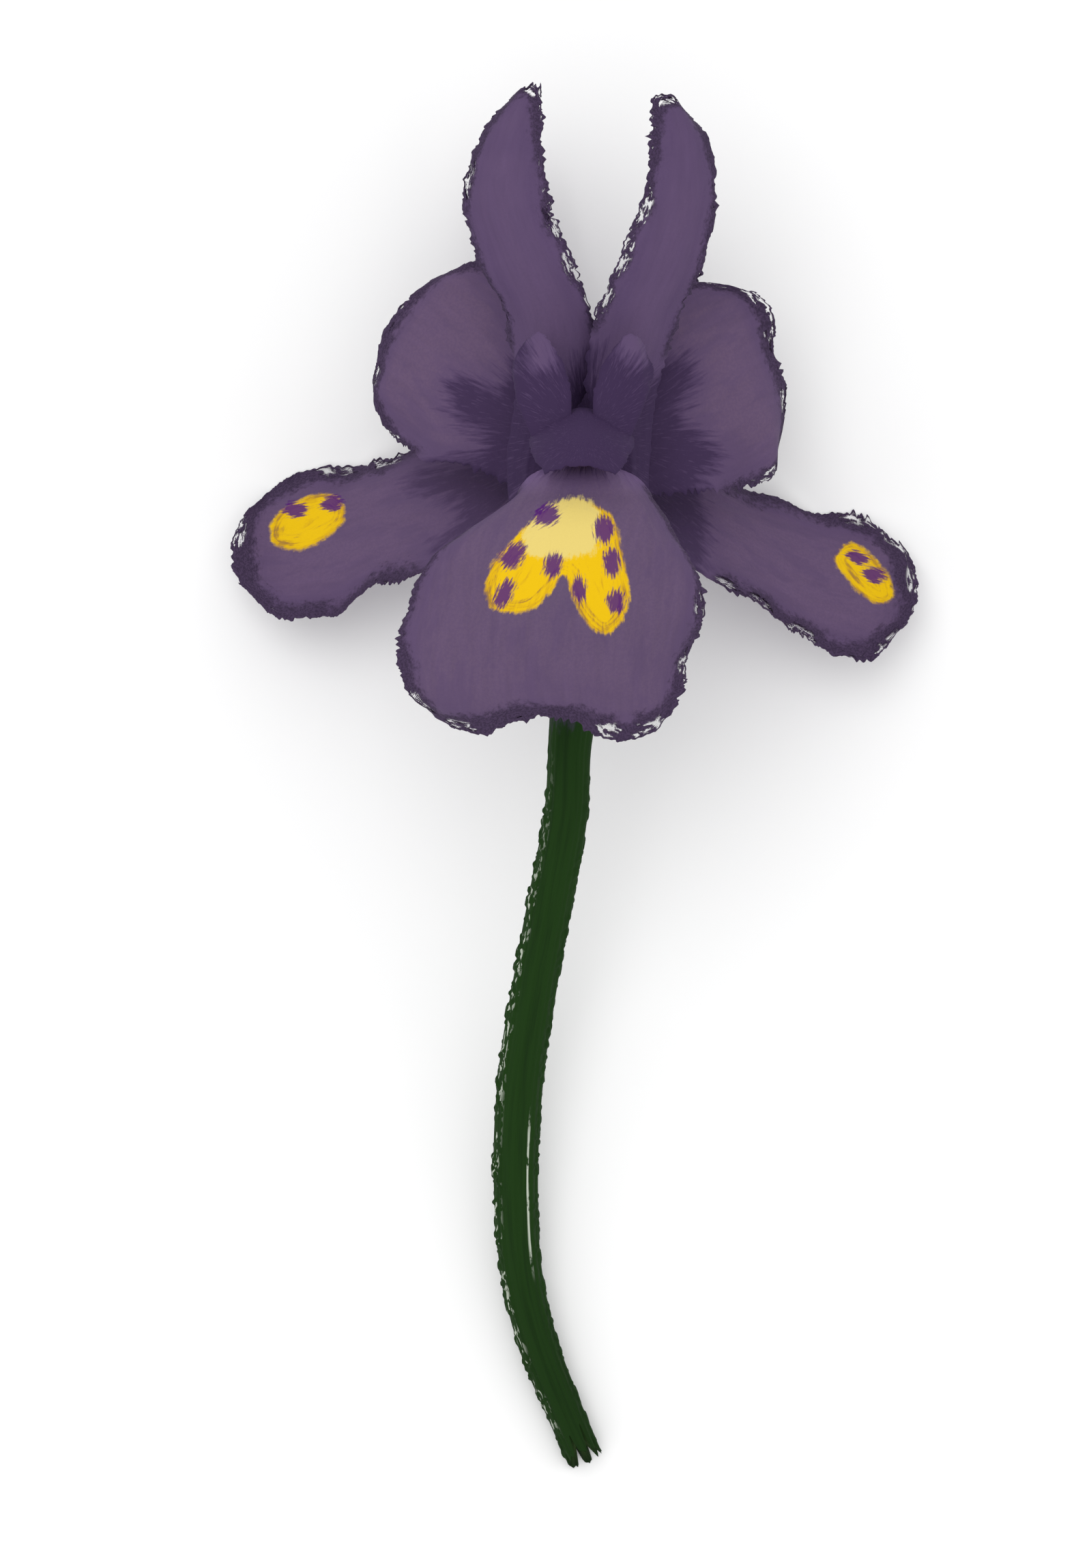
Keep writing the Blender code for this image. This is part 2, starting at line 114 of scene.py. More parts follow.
FALL_LEFT = [
    claw(LEFT_BACK),
    claw(LEFT_BACK, CLAW_TOP),
    ((-5.6, 19.6, 17.0), (-4.2, 20.6, 14.8), (-3.0, 21.6, 12.6)),
    ((-9.0, 21.4, 15.8), (-6.8, 25.0, 12.4), (-5.4, 27.8, 9.2)),
    ((-14.9, 19.0, 13.0), (-11.6, 26.4, 9.8), (-10.0, 31.0, 6.2)),
    ((-19.4, 17.5, 10.6), (-17.6, 25.0, 7.0), (-16.6, 30.4, 3.0)),
    ((-23.0, 15.3, 9.0), (-22.6, 23.2, 4.8), (-21.6, 29.2, 0.5)),
    ((-27.6, 14.9, 7.4), (-27.6, 22.0, 3.6), (-27.1, 28.5, -0.1)),
    ((-31.6, 18.2, 5.8), (-32.4, 21.6, 4.0), (-31.0, 25.1, 1.9)),
]

FALL_RIGHT = [
    claw(RIGHT_BACK),
    claw(RIGHT_BACK, CLAW_TOP),
    ((3.6, 21.4, 12.6), (4.6, 20.3, 14.8), (6.0, 19.2, 17.0)),
    ((6.2, 27.0, 9.2), (7.4, 24.0, 12.4), (9.4, 20.2, 15.8)),
    ((11.2, 28.8, 6.0), (12.0, 24.4, 9.6), (14.6, 17.4, 12.8)),
    ((17.0, 26.8, 2.8), (17.6, 21.6, 6.8), (19.4, 14.6, 10.4)),
    ((21.9, 25.2, 0.5), (22.4, 19.2, 4.8), (22.6, 12.2, 8.8)),
    ((26.9, 24.6, -0.1), (27.4, 17.7, 3.6), (27.8, 11.3, 7.2)),
    ((31.4, 21.2, 1.9), (32.3, 17.6, 4.0), (30.8, 14.0, 5.8)),
]

STANDARD_LEFT = [
    claw(LEFT_FORE),
    claw(LEFT_FORE, CLAW_TOP),
    ((-2.7, 22.0, 22.0), (-4.2, 22.0, 21.0), (-5.6, 22.0, 19.6)),
    ((-2.6, 29.0, 24.2), (-4.4, 29.0, 23.4), (-6.4, 29.0, 21.4)),
    ((0.9, 36.0, 26.0), (-2.6, 36.0, 26.0), (-5.8, 36.0, 23.8)),
    ((1.5, 42.1, 27.6), (-2.7, 42.6, 27.9), (-6.7, 43.2, 25.8)),
    ((-0.2, 47.8, 30.0), (-4.8, 47.8, 29.4), (-9.2, 48.8, 26.7)),
    ((-2.4, 53.2, 30.4), (-6.5, 53.6, 29.8), (-10.7, 54.6, 26.9)),
    ((-3.1, 58.6, 29.4), (-6.1, 58.6, 29.0), (-9.1, 59.2, 26.4)),
    ((-3.2, 63.8, 27.4), (-4.2, 64.3, 27.0), (-5.6, 63.3, 25.8)),
]

STANDARD_RIGHT = [
    claw(RIGHT_FORE),
    claw(RIGHT_FORE, CLAW_TOP),
    ((6.0, 22.0, 19.6), (4.6, 22.0, 21.0), (3.1, 22.0, 22.0)),
    ((6.8, 29.0, 21.4), (4.9, 29.0, 23.4), (3.1, 29.0, 24.2)),
    ((7.3, 35.6, 23.6), (4.5, 35.6, 26.2), (0.9, 35.6, 27.6)),
    ((9.0, 41.6, 25.6), (5.6, 41.8, 28.2), (1.6, 42.2, 29.1)),
    ((11.9, 47.8, 26.8), (8.2, 48.4, 29.5), (4.2, 48.8, 30.2)),
    ((12.7, 54.2, 27.0), (9.6, 54.2, 29.8), (6.2, 54.2, 30.2)),
    ((12.0, 59.7, 26.3), (9.4, 59.2, 28.8), (6.8, 59.2, 29.2)),
    ((9.6, 62.9, 25.8), (8.3, 63.4, 27.0), (7.1, 62.8, 27.4)),
]

STANDARD_REAR = [
    claw(BACK),
    claw(BACK, CLAW_TOP),
    ((-1.9, 20.5, 13.4), (0.2, 20.5, 12.8), (2.3, 20.5, 13.4)),
    ((-3.0, 26.0, 10.8), (0.2, 26.0, 9.6), (3.3, 26.0, 10.8)),
    ((-4.1, 32.0, 8.4), (0.1, 32.0, 6.8), (4.2, 32.0, 8.4)),
    ((-4.9, 38.2, 6.8), (-0.7, 38.2, 5.0), (3.5, 38.0, 6.6)),
    ((-6.4, 44.6, 6.2), (-2.7, 44.2, 4.2), (0.8, 43.2, 6.0)),
    ((-8.2, 50.8, 6.4), (-5.0, 50.4, 4.8), (-1.9, 50.0, 6.2)),
    ((-8.4, 56.2, 7.4), (-6.3, 56.2, 6.2), (-4.0, 56.2, 7.2)),
    ((-7.0, 59.6, 8.2), (-6.3, 60.0, 7.8), (-5.5, 59.6, 8.2)),
]

STYLE_LEFT = [
    style_foot(LEFT_BACK),
    style_foot(LEFT_BACK, CLAW_TOP),
    ((-2.3, 21.0, 18.8), (-1.5, 22.0, 18.2), (-0.7, 22.4, 17.4)),
    ((-4.9, 26.2, 18.4), (-3.2, 28.8, 19.2), (-1.2, 30.2, 18.8)),
    ((-9.6, 28.8, 17.2), (-6.8, 34.2, 19.0), (-2.6, 38.2, 19.6)),
    ((-14.4, 29.8, 14.8), (-10.6, 38.2, 17.4), (-4.6, 44.6, 18.4)),
    ((-17.6, 32.5, 12.8), (-14.5, 41.0, 14.8), (-8.3, 47.9, 16.2)),
    ((-18.9, 37.0, 11.2), (-17.3, 42.8, 12.4), (-12.8, 47.0, 14.0)),
]

STYLE_RIGHT = [
    style_foot(RIGHT_BACK),
    style_foot(RIGHT_BACK, CLAW_TOP),
    ((1.1, 22.4, 17.4), (1.9, 22.0, 18.2), (2.7, 21.0, 18.8)),
    ((1.8, 29.8, 18.8), (3.9, 28.2, 19.2), (5.4, 25.2, 18.4)),
    ((3.8, 37.2, 19.6), (7.8, 32.8, 19.0), (10.0, 26.6, 17.2)),
    ((6.8, 43.0, 18.4), (12.0, 36.2, 17.4), (14.8, 26.9, 14.8)),
    ((11.0, 46.3, 16.2), (16.0, 38.9, 14.8), (18.4, 28.6, 12.7)),
    ((16.6, 45.4, 13.9), (18.7, 39.4, 12.5), (19.6, 32.8, 11.1)),
]

STYLE_FRONT = [
    style_foot(FRONT),
    style_foot(FRONT, CLAW_TOP),
    ((1.4, 22.0, 20.8), (0.3, 22.2, 20.4), (-0.8, 22.0, 20.8)),
    ((2.8, 27.4, 24.6), (0.4, 28.2, 23.8), (-2.0, 27.4, 24.6)),
    ((4.4, 31.0, 29.6), (0.5, 32.8, 28.8), (-3.4, 31.0, 29.6)),
    ((5.2, 31.2, 33.8), (0.5, 33.8, 33.6), (-4.2, 31.2, 33.8)),
    ((4.9, 29.6, 36.6), (0.4, 32.0, 37.6), (-4.1, 29.6, 36.6)),
    ((3.6, 27.9, 38.4), (0.3, 28.6, 39.9), (-3.0, 27.9, 38.4)),
]

CREST_LEFT = [
    ((-4.0, 31.0, 34.7), (-2.2, 32.2, 35.0), (-0.5, 32.6, 35.2)),
    ((-5.6, 35.0, 33.6), (-3.2, 35.4, 34.6), (-0.6, 35.6, 34.6)),
    ((-5.8, 38.4, 31.8), (-3.7, 38.8, 33.0), (-1.6, 38.8, 33.4)),
    ((-4.6, 40.6, 31.0), (-3.7, 41.0, 31.8), (-2.8, 40.8, 32.2)),
]

CREST_RIGHT = [
    ((1.5, 32.6, 35.2), (3.2, 32.2, 35.0), (4.8, 31.0, 34.7)),
    ((1.6, 35.6, 34.6), (4.2, 35.4, 34.6), (6.4, 35.0, 33.6)),
    ((2.8, 38.8, 33.4), (4.9, 38.8, 33.0), (6.8, 38.4, 31.8)),
    ((4.2, 40.8, 32.2), (5.1, 41.0, 31.8), (5.9, 40.6, 31.0)),
]

# Middle line of the stem from its cut end to the flared top, each point with its radius.
STEM = [
    (0.6, -63.6, 1.5, 1.65),
    (-1.3, -59.2, 1.8, 1.7),
    (-3.3, -54.2, 2.5, 1.8),
    (-5.1, -47.0, 3.3, 1.9),
    (-5.7, -38.0, 4.9, 2.05),
    (-5.2, -28.0, 7.3, 2.1),
    (-3.8, -19.0, 9.8, 2.05),
    (-2.2, -10.5, 12.4, 2.05),
    (-0.9, -3.0, 14.7, 2.0),
    (-0.6, 3.0, 16.5, 2.0),
    (-0.1, 8.0, 17.6, 2.4),
    (AXIS[0], 12.5, AXIS[1], 3.4),
    (AXIS[0], TUBE_TOP + 0.4, AXIS[1], 4.1),
]

# Splits between the fibres of the cut end: direction around the stem in degrees, and depth. Their width
# is in radians. They and the ragged teeth fade up the stem. The strands reach past the end of the solid,
# and the pith between them is hollow.
SPLITS = [(32, 1.2), (61, 2.7), (108, 2.0), (158, 0.8), (252, 2.0), (299, 2.7), (328, 1.2)]
SPLIT_WIDTH = 0.11
SPLIT_FADE = 3.2
TEETH_FADE = 1.2
STRAND_LENGTH = 0.7
HOLLOW = 2.2

# Filament and anther of each stamen from root to tip, and the radii at their points.
STAMEN_RADII = [0.4, 0.4, 0.38, 0.36, 0.36, 0.5, 0.76, 0.68, 0.25]
STAMEN_FRONT = [
    ring_point(FRONT, FILAMENT_RING),
    ring_point(FRONT, FILAMENT_RING, CLAW_TOP),
    (0.25, 20.4, 21.2),
    (0.3, 24.4, 23.2),
    (0.35, 27.8, 25.6),
    (0.4, 29.9, 28.0),
    (0.4, 31.4, 30.6),
    (0.4, 31.8, 33.0),
    (0.4, 31.6, 34.6),
]
STAMEN_LEFT = [
    ring_point(LEFT_BACK, FILAMENT_RING),
    ring_point(LEFT_BACK, FILAMENT_RING, CLAW_TOP),
    (-2.4, 21.0, 17.0),
    (-3.5, 24.8, 16.8),
    (-4.9, 28.0, 16.4),
    (-6.2, 30.4, 15.9),
    (-7.6, 32.4, 15.3),
    (-8.8, 34.0, 14.6),
    (-9.6, 35.2, 13.9),
]
STAMEN_RIGHT = [
    ring_point(RIGHT_BACK, FILAMENT_RING),
    ring_point(RIGHT_BACK, FILAMENT_RING, CLAW_TOP),
    (2.8, 21.0, 17.0),
    (3.9, 24.6, 16.8),
    (5.3, 27.4, 16.4),
    (6.8, 29.6, 15.9),
    (8.4, 31.4, 15.3),
    (9.8, 32.8, 14.6),
    (10.8, 33.8, 13.9),
]


# Shapes


def smooth_through(points, shares):
    """A curve through the points, read at shares of its length: cubic pieces whose slopes at each
    point are those of its neighbours."""
    points = np.array(points, float)
    flat = points.reshape(len(points), -1)
    middle = points[:, 1] if points.ndim == 3 else flat[:, :3]
    steps = np.linalg.norm(np.diff(middle, axis=0), axis=1)
    knots = np.concatenate([[0.0], np.cumsum(steps)]) / steps.sum()
    slopes = np.gradient(flat, knots, axis=0)
    span = np.clip(np.searchsorted(knots, shares, side="right") - 1, 0, len(knots) - 2)
    width = (knots[span + 1] - knots[span])[:, None]
    u = (np.asarray(shares) - knots[span])[:, None] / width
    found = (
        (2 * u**3 - 3 * u**2 + 1) * flat[span]
        + (u**3 - 2 * u**2 + u) * width * slopes[span]
        + (3 * u**2 - 2 * u**3) * flat[span + 1]
        + (u**3 - u**2) * width * slopes[span + 1]
    )
    return found.reshape(len(found), *points.shape[1:])


def ease(low, high, value):
    """0 below low, 1 above high, and a smooth step between them."""
    share = np.clip((value - low) / (high - low), 0, 1)
    return share * share * (3 - 2 * share)


def unit(vectors):
    return vectors / np.linalg.norm(vectors, axis=-1, keepdims=True)


def wander(place, step, draw):
    """A smooth random line: values drawn at every step of place, joined by smooth steps."""
    count = int(np.ptp(place) / step) + 3
    values = draw.uniform(-1, 1, count)
    share = (place - place.min()) / step
    low = np.floor(share).astype(int)
    rest = ease(0, 1, share - low)
    return values[low] * (1 - rest) + values[low + 1] * rest


def frayed(place, draw):
    """A dry, frayed edge along a margin, in millimetres: long waves, then teeth and nicks that are
    rough in some stretches and nearly smooth in others."""
    rough = 0.5 + 0.6 * ease(-0.2, 0.5, wander(place, 3.1, draw))
    teeth = np.abs(wander(place, 0.7, draw)) ** 1.5
    nicks = np.abs(wander(place, 0.3, draw))
    return 0.16 * wander(place, 2.2, draw) + rough * (0.62 * teeth - 0.42 * nicks)


def petal_grid(stations, rows, columns, ripple, phase, lobes):
    """The middle surface of a petal over shares s from root to tip and t from margin to margin.

    A row is the parabola through its left margin, rib and right margin. A sine along s ripples the
    margins, and a sine of t squared pushes the tip out on both sides of its notch. Rows lie closer
    towards the tip, and columns closer towards the margins.
    """
    s = (1 - (1 - np.linspace(0, 1, rows)) ** 1.25)[:, None]
    t = np.sin(np.linspace(-math.pi / 2, math.pi / 2, columns))[None, :]
    left, rib, right = np.moveaxis(smooth_through(stations, s[:, 0]), 1, 0)[:, :, None, :]
    across = t[:, :, None]
    points = rib + across * (right - left) / 2 + across**2 * ((left + right) / 2 - rib)
    along = unit(np.gradient(points, s[:, 0], axis=0))
    sideways = unit(np.gradient(points, t[0], axis=1))
    normal = unit(np.cross(sideways, along))
    height, count = ripple
    wave = height * np.sin(2 * math.pi * count * s + phase * np.sign(t)) * t**2 * s
    tip = np.clip((s - 0.6) / 0.4, 0, 1) ** 2
    bulge = lobes * tip * np.sin(math.pi * t**2)
    return s, t, points + normal * wave[..., None] + along * bulge[..., None]


def petal_shell(stations, rows, columns, ripple=(0, 0), phase=0.0, lobes=0.0, veins=5, fray=1.0, seed=1):
    """A petal as a closed thin shell, with its attributes for painting.

    The middle surface gets a faint unevenness, fine veins that fan out from the claw and a groove
    along the rib. The margins and the tip are moved in and out by a frayed line, only within half a
    millimetre of the edge. Two skins stand off the middle surface by half the thickness, which tapers
    to the margins, and a rim joins them.
    """
    draw = np.random.default_rng(seed)
    s, t, points = petal_grid(stations, rows, columns, ripple, phase, lobes)
    rib = points[:, columns // 2]
    reach = np.concatenate([[0.0], np.cumsum(np.linalg.norm(np.diff(rib, axis=0), axis=1))])[:, None]
    steps = np.linalg.norm(np.diff(points, axis=1), axis=2)
    places = np.concatenate([np.zeros((rows, 1)), np.cumsum(steps, axis=1)], axis=1)
    to_side = np.minimum(places, places[:, -1:] - places)
    to_tip = reach[-1] - reach
    rim = np.minimum(to_side, to_tip)
    blade = ease(0.22, 0.5, s)
    along = unit(np.gradient(points, s[:, 0], axis=0))
    sideways = unit(np.gradient(points, t[0], axis=1))
    normal = unit(np.cross(sideways, along))
    side_fray = np.where(t > 0, frayed(reach, draw), -frayed(reach, draw)) * blade
    push_side = fray * side_fray * np.exp(-to_side / FRAY_REACH)
    push_tip = fray * frayed(places[-1:], draw) * np.exp(-to_tip / FRAY_REACH)
    points = points + sideways * push_side[..., None] + along * push_tip[..., None]
    uneven = 0.10 * np.sin(9.0 * s + 3.1 * t + 6 * draw.random()) * np.sin(4.3 * t - 3.0 * s)
    crinkle = 0.16 * wander(reach, 1.6, draw) * np.abs(t) ** 5
    centre = points + normal * (blade * (uneven + crinkle))[..., None]
    fan = (0.5 + 0.5 * np.cos(2 * math.pi * veins * t)) ** 5
    relief = 0.045 * fan * ease(0.1, 0.35, s) * (1 - ease(0.7, 0.98, s)) * (1 - np.abs(t) ** 6)
    groove = 0.14 * np.exp(-((to_side.max() * t) ** 2) / 0.5) * ease(0.1, 0.3, s) * (1 - s)
    rib_half, margin_half = HALF_THICKNESS
    half = rib_half + (margin_half - rib_half) * np.abs(t) ** 1.2
    half = half * (1 - 0.45 * ease(0.3, 1.0, s)) * (0.35 + 0.65 * np.sqrt(np.clip(rim / 0.3, 0, 1)))
    inner = centre + normal * (half + relief - groove)[..., None]
    outer = centre - normal * (half + 0.6 * relief + 0.8 * groove)[..., None]
    inner[..., 2] = np.maximum(inner[..., 2], 0.05)
    outer[..., 2] = np.maximum(outer[..., 2], 0.0)
    vertices = np.concatenate([inner.reshape(-1, 3), outer.reshape(-1, 3)])
    grid = {
        "along": s + 0 * t,
        "rim": rim,
        "reach": reach + 0 * t,
        "width": places - places[:, -1:] / 2,
    }
    marks = {name: np.tile(values.ravel(), 2) for name, values in grid.items()}
    marks["inner"] = np.repeat([1.0, 0.0], rows * columns)
    return vertices, shell_faces(rows, columns), marks


def shell_faces(rows, columns):
    """Faces of two skins of rows by columns vertices and of the rim between them, facing outwards."""
    index = np.arange(rows * columns).reshape(rows, columns)
    corner = index[:-1, :-1].ravel()
    inner = np.stack([corner, corner + 1, corner + columns + 1, corner + columns], axis=1)
    outer = inner[:, ::-1] + rows * columns
    loop = np.concatenate([index[0, :], index[1:, -1], index[-1, -2::-1], index[-2:0:-1, 0]])
    after = np.roll(loop, -1)
    rim = np.stack([after, loop, loop + rows * columns, after + rows * columns], axis=1)
    return np.concatenate([inner, outer, rim])


def ring_tube(centres, radii, sides, swell=None, lean=None):
    """A closed tube: rings square to the middle line, each a circle of its radius times swell, and
    moved along the line by lean. The ends are fans to a point on the line."""
    rings = len(centres)
    heading = unit(np.gradient(centres, axis=0))
    side = unit(np.cross(heading, (0.0, 0.0, 1.0)))
    up = np.cross(side, heading)
    turn = 2 * math.pi * np.arange(sides) / sides
    around = side[:, None] * np.cos(turn)[None, :, None] + up[:, None] * np.sin(turn)[None, :, None]
    scale = radii[:, None] * (1 if swell is None else swell)
    points = centres[:, None] + around * scale[..., None]
    if lean is not None:
        points = points + heading[:, None] * lean[..., None]
    ends = np.stack([points[0].mean(axis=0), points[-1].mean(axis=0)])
    vertices = np.concatenate([points.reshape(-1, 3), ends])
    index = np.arange(rings * sides).reshape(rings, sides)
    after = np.roll(index, -1, axis=1)
    skin = np.stack([index[:-1], after[:-1], after[1:], index[1:]], axis=-1).reshape(-1, 4)
    low = np.stack([after[0], index[0], np.full(sides, rings * sides)], axis=1)
    high = np.stack([index[-1], after[-1], np.full(sides, rings * sides + 1)], axis=1)
    return vertices, [skin, low, high]


def build_mesh(name, vertices, faces, marks):
    """A mesh from arrays in millimetres, with its number per vertex as attributes."""
    groups = faces if isinstance(faces, list) else [faces]
    mesh = bpy.data.meshes.new(name)
    mesh.from_pydata((vertices * MM).tolist(), [], [face for group in groups for face in group.tolist()])
    for key, values in marks.items():
        layer = mesh.attributes.new(key, "FLOAT", "POINT")
        layer.data.foreach_set("value", np.ascontiguousarray(values, dtype=np.float32))
    mesh.update()
    mesh.shade_smooth()
    return mesh


def place(name, mesh, finish, slot, node):
    """Put a piece on the flower in the place of its solid."""
    mesh.materials.append(finish)
    piece = bpy.data.objects.new(name, mesh)
    bpy.context.scene.collection.objects.link(piece)
    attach(piece, "root")
    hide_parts(node)
    return piece


# Shader maths


class Link:
    """A socket of a finish. Python's operators on it add Math nodes."""

    def __init__(self, finish, socket):
        self.finish = finish
        self.socket = socket

    def __add__(self, other):
        return self.finish.math("ADD", self, other)

    def __radd__(self, other):
        return self.finish.math("ADD", other, self)

    def __sub__(self, other):
        return self.finish.math("SUBTRACT", self, other)

    def __rsub__(self, other):
        return self.finish.math("SUBTRACT", other, self)

    def __mul__(self, other):
        return self.finish.math("MULTIPLY", self, other)

    def __rmul__(self, other):
        return self.finish.math("MULTIPLY", other, self)

    def __truediv__(self, other):
        return self.finish.math("DIVIDE", self, other)

    def step(self, low, high):
        """0 at low, 1 at high, and a smooth step between them."""
        return self.finish.node(
            "ShaderNodeMapRange", {"interpolation_type": "SMOOTHSTEP"}, {0: self, 1: low, 2: high}
        )


class Finish:
    """A material under construction: its node tree and its Principled shader."""

    def __init__(self, name, roughness, **constants):
        self.material = bpy.data.materials.new(name)
        self.material.use_nodes = True
        self.tree = self.material.node_tree
        self.shader = self.tree.nodes["Principled BSDF"]
        self.shader.inputs["Roughness"].default_value = roughness
        for socket, value in constants.items():
            self.shader.inputs[socket.replace("_", " ")].default_value = value

    def node(self, kind, settings=(), values=(), output=0):
        """A node of that kind, with its settings, then the numbers or links of its sockets."""
        made = self.tree.nodes.new(kind)
        for key, value in dict(settings).items():
            setattr(made, key, value)
        for key, value in dict(values).items():
            if isinstance(value, Link):
                self.tree.links.new(value.socket, made.inputs[key])
            else:
                made.inputs[key].default_value = value
        return Link(self, made.outputs[output])

    def math(self, operation, first, second=0.0):
        return self.node("ShaderNodeMath", {"operation": operation}, {0: first, 1: second})

    def mark(self, name):
        """One of the piece's own attributes."""
        return self.node("ShaderNodeAttribute", {"attribute_name": name}, output="Fac")

    def blend(self, share, first, second, how="MIX"):
        """The first colour at share 0 and the second at share 1."""
        return self.node(
            "ShaderNodeMix", {"data_type": "RGBA", "blend_type": how}, {0: share, 6: first, 7: second}, 2
        )

    def lighten(self, colour, amount):
        return self.blend(1.0, colour, self.vector(amount, amount, amount), "MULTIPLY")

    def vector(self, x, y, z):
        return self.node("ShaderNodeCombineXYZ", (), {0: x, 1: y, 2: z})

    def noise(self, vector, scale, detail=3.0, roughness=0.55):
        return self.node(
            "ShaderNodeTexNoise", (),
            {"Vector": vector, "Scale": scale, "Detail": detail, "Roughness": roughness}, "Fac",
        )

    def spot(self, vector):
        """The place on the flower in millimetres, as three numbers."""
        large = self.node("ShaderNodeVectorMath", {"operation": "SCALE"}, {0: vector, "Scale": 1000.0})
        split = self.node("ShaderNodeSeparateXYZ", (), {0: large})
        outputs = split.socket.node.outputs
        return Link(self, outputs[0]), Link(self, outputs[1]), Link(self, outputs[2])

    def plug(self, socket, link):
        self.tree.links.new(link.socket, self.shader.inputs[socket])

    def bump(self, height, strength, depth=0.0003):
        values = {"Strength": strength, "Distance": depth, "Height": height}
        self.plug("Normal", self.node("ShaderNodeBump", (), values, "Normal"))


# How much light falls on the flower, against the light in which its colours were read.
BRIGHTNESS = 1.09


def paint(red, green, blue):
    """A colour as the eye reads it, 0 to 255, turned into the share of the light that it returns."""
    shares = np.array([red, green, blue]) / 255
    linear = np.where(shares <= 0.04045, shares / 12.92, ((shares + 0.055) / 1.055) ** 2.4)
    return (*(linear / BRIGHTNESS).tolist(), 1.0)


MAUVE = paint(101, 81, 109)
DUSK = paint(90, 72, 104)
RIM = paint(54, 42, 64)
HALO = paint(92, 73, 107)
STREAK = paint(79, 61, 95)
# The darkest purple of the throat: its own streaks, and painted shade in its hollow.
THROAT_STREAK_AND_SHADE = paint(58, 42, 74)
PALE_BACK = paint(122, 102, 130)
YELLOW = paint(235, 191, 12)
DEEP_YELLOW = paint(205, 157, 28)
BROWN = paint(150, 112, 62)
CREAM = paint(230, 208, 122)
SPOT = paint(80, 24, 110)
GREEN = paint(28, 57, 17)
STEM_SHADE = paint(22, 48, 14)
# Pale of the stem's standing fibres and of its painted sheen.
FLECK_AND_SHEEN = paint(206, 214, 198)
CUT_GREEN = paint(72, 92, 48)


# Markings, as seen from straight above, in millimetres.

# The dark strokes of the throat spread from its centre, and deep inside their outline they are painted
# shade of its hollow as well as streaks. Their outline has a tuft on either lobe, points that run up the
# standards, and broad ends on the claws of the side falls.
THROAT_CENTRE = (0.9, 31.6)
THROAT_OUTLINE = [
    (-13.2, 36.4), (-11.4, 38.2), (-7.2, 36.4), (-5.8, 42.0), (-4.6, 42.0), (-3.8, 37.4), (-1.6, 40.0),
    (-0.4, 41.6), (2.2, 42.0), (4.0, 41.8), (4.6, 38.6), (7.2, 39.6), (11.2, 40.0), (11.8, 36.6),
    (9.8, 33.4), (13.6, 32.0), (14.2, 29.4), (12.2, 27.2), (13.4, 20.4), (10.8, 18.2), (5.4, 25.6),
    (4.6, 26.4), (-3.6, 26.4), (-6.5, 24.2), (-13.2, 19.4), (-14.4, 21.8), (-10.6, 25.2), (-16.8, 26.2),
    (-17.0, 28.8), (-9.8, 30.6), (-8.8, 31.4), (-11.6, 32.4),
]
# How fast the strokes deepen inside the outline, and their deepest, the painted shade of the core.
STROKE_DEPTH = 1.2
DEEPEST = 2.1

# The signal patches: outlines of the yellow and of its pale cap, then middle, half length, half width
# and lean of each purple spot. The yellow strokes spread from the point "fan".
FRONT_PATCH = {
    "outline": [
        (0.2, 25.9), (-2.0, 25.3), (-4.0, 23.9), (-6.9, 21.1), (-8.3, 19.3), (-8.7, 16.1), (-7.3, 15.1),
        (-4.4, 15.0), (-2.4, 16.7), (-1.2, 19.0), (-0.7, 17.0), (0.1, 15.0), (1.3, 13.6), (2.7, 12.8),
        (4.2, 14.1), (5.0, 15.8), (4.9, 17.8), (4.3, 20.6), (3.7, 23.7), (2.6, 24.7),
    ],
    "cap": [
        (-4.8, 20.3), (-5.2, 22.4), (-4.2, 23.9), (-2.6, 25.0), (-1.2, 26.0), (1.2, 25.8), (2.3, 24.2),
        (2.0, 22.8), (2.4, 21.7), (1.6, 20.4), (-0.6, 20.2), (-2.4, 19.9),
    ],
    "spots": [
        ((-2.8, 24.1), 1.25, 1.0, 35),
        ((2.5, 22.8), 1.35, 0.95, 95),
        ((-5.9, 20.4), 1.35, 1.05, 50),
        ((-2.2, 19.5), 1.2, 0.9, 75),
        ((3.25, 19.75), 1.35, 0.85, 95),
        ((0.2, 17.3), 1.25, 0.75, 95),
        ((3.6, 16.2), 1.15, 0.85, 80),
        ((-6.7, 16.9), 1.4, 0.8, 62),
    ],
    "fan": (1.5, 33.0),
}
LEFT_PATCH = {
    "outline": [
        (-29.0, 23.4), (-28.5, 24.8), (-26.8, 25.9), (-24.8, 26.6), (-23.4, 26.9), (-22.2, 26.3),
        (-21.5, 25.2), (-21.8, 23.8), (-23.2, 22.6), (-24.8, 21.6), (-26.6, 21.2), (-28.2, 21.5),
        (-28.9, 22.1),
    ],
    "spots": [((-26.5, 25.2), 1.2, 0.78, 8), ((-23.0, 25.8), 1.1, 0.75, 12)],
    "fan": (-60.0, 10.0),
}
RIGHT_PATCH = {
    "outline": [
        (26.0, 22.2), (27.0, 21.8), (28.4, 20.5), (29.6, 19.2), (30.0, 17.3), (29.8, 16.6),
        (28.8, 16.1), (27.6, 16.5), (26.2, 17.6), (24.9, 19.2), (24.2, 20.3), (24.4, 21.0), (25.1, 21.9),
    ],
    "spots": [((26.5, 20.7), 1.15, 0.62, -15), ((28.05, 19.05), 1.15, 0.72, -15)],
    "fan": (2.0, 47.0),
}


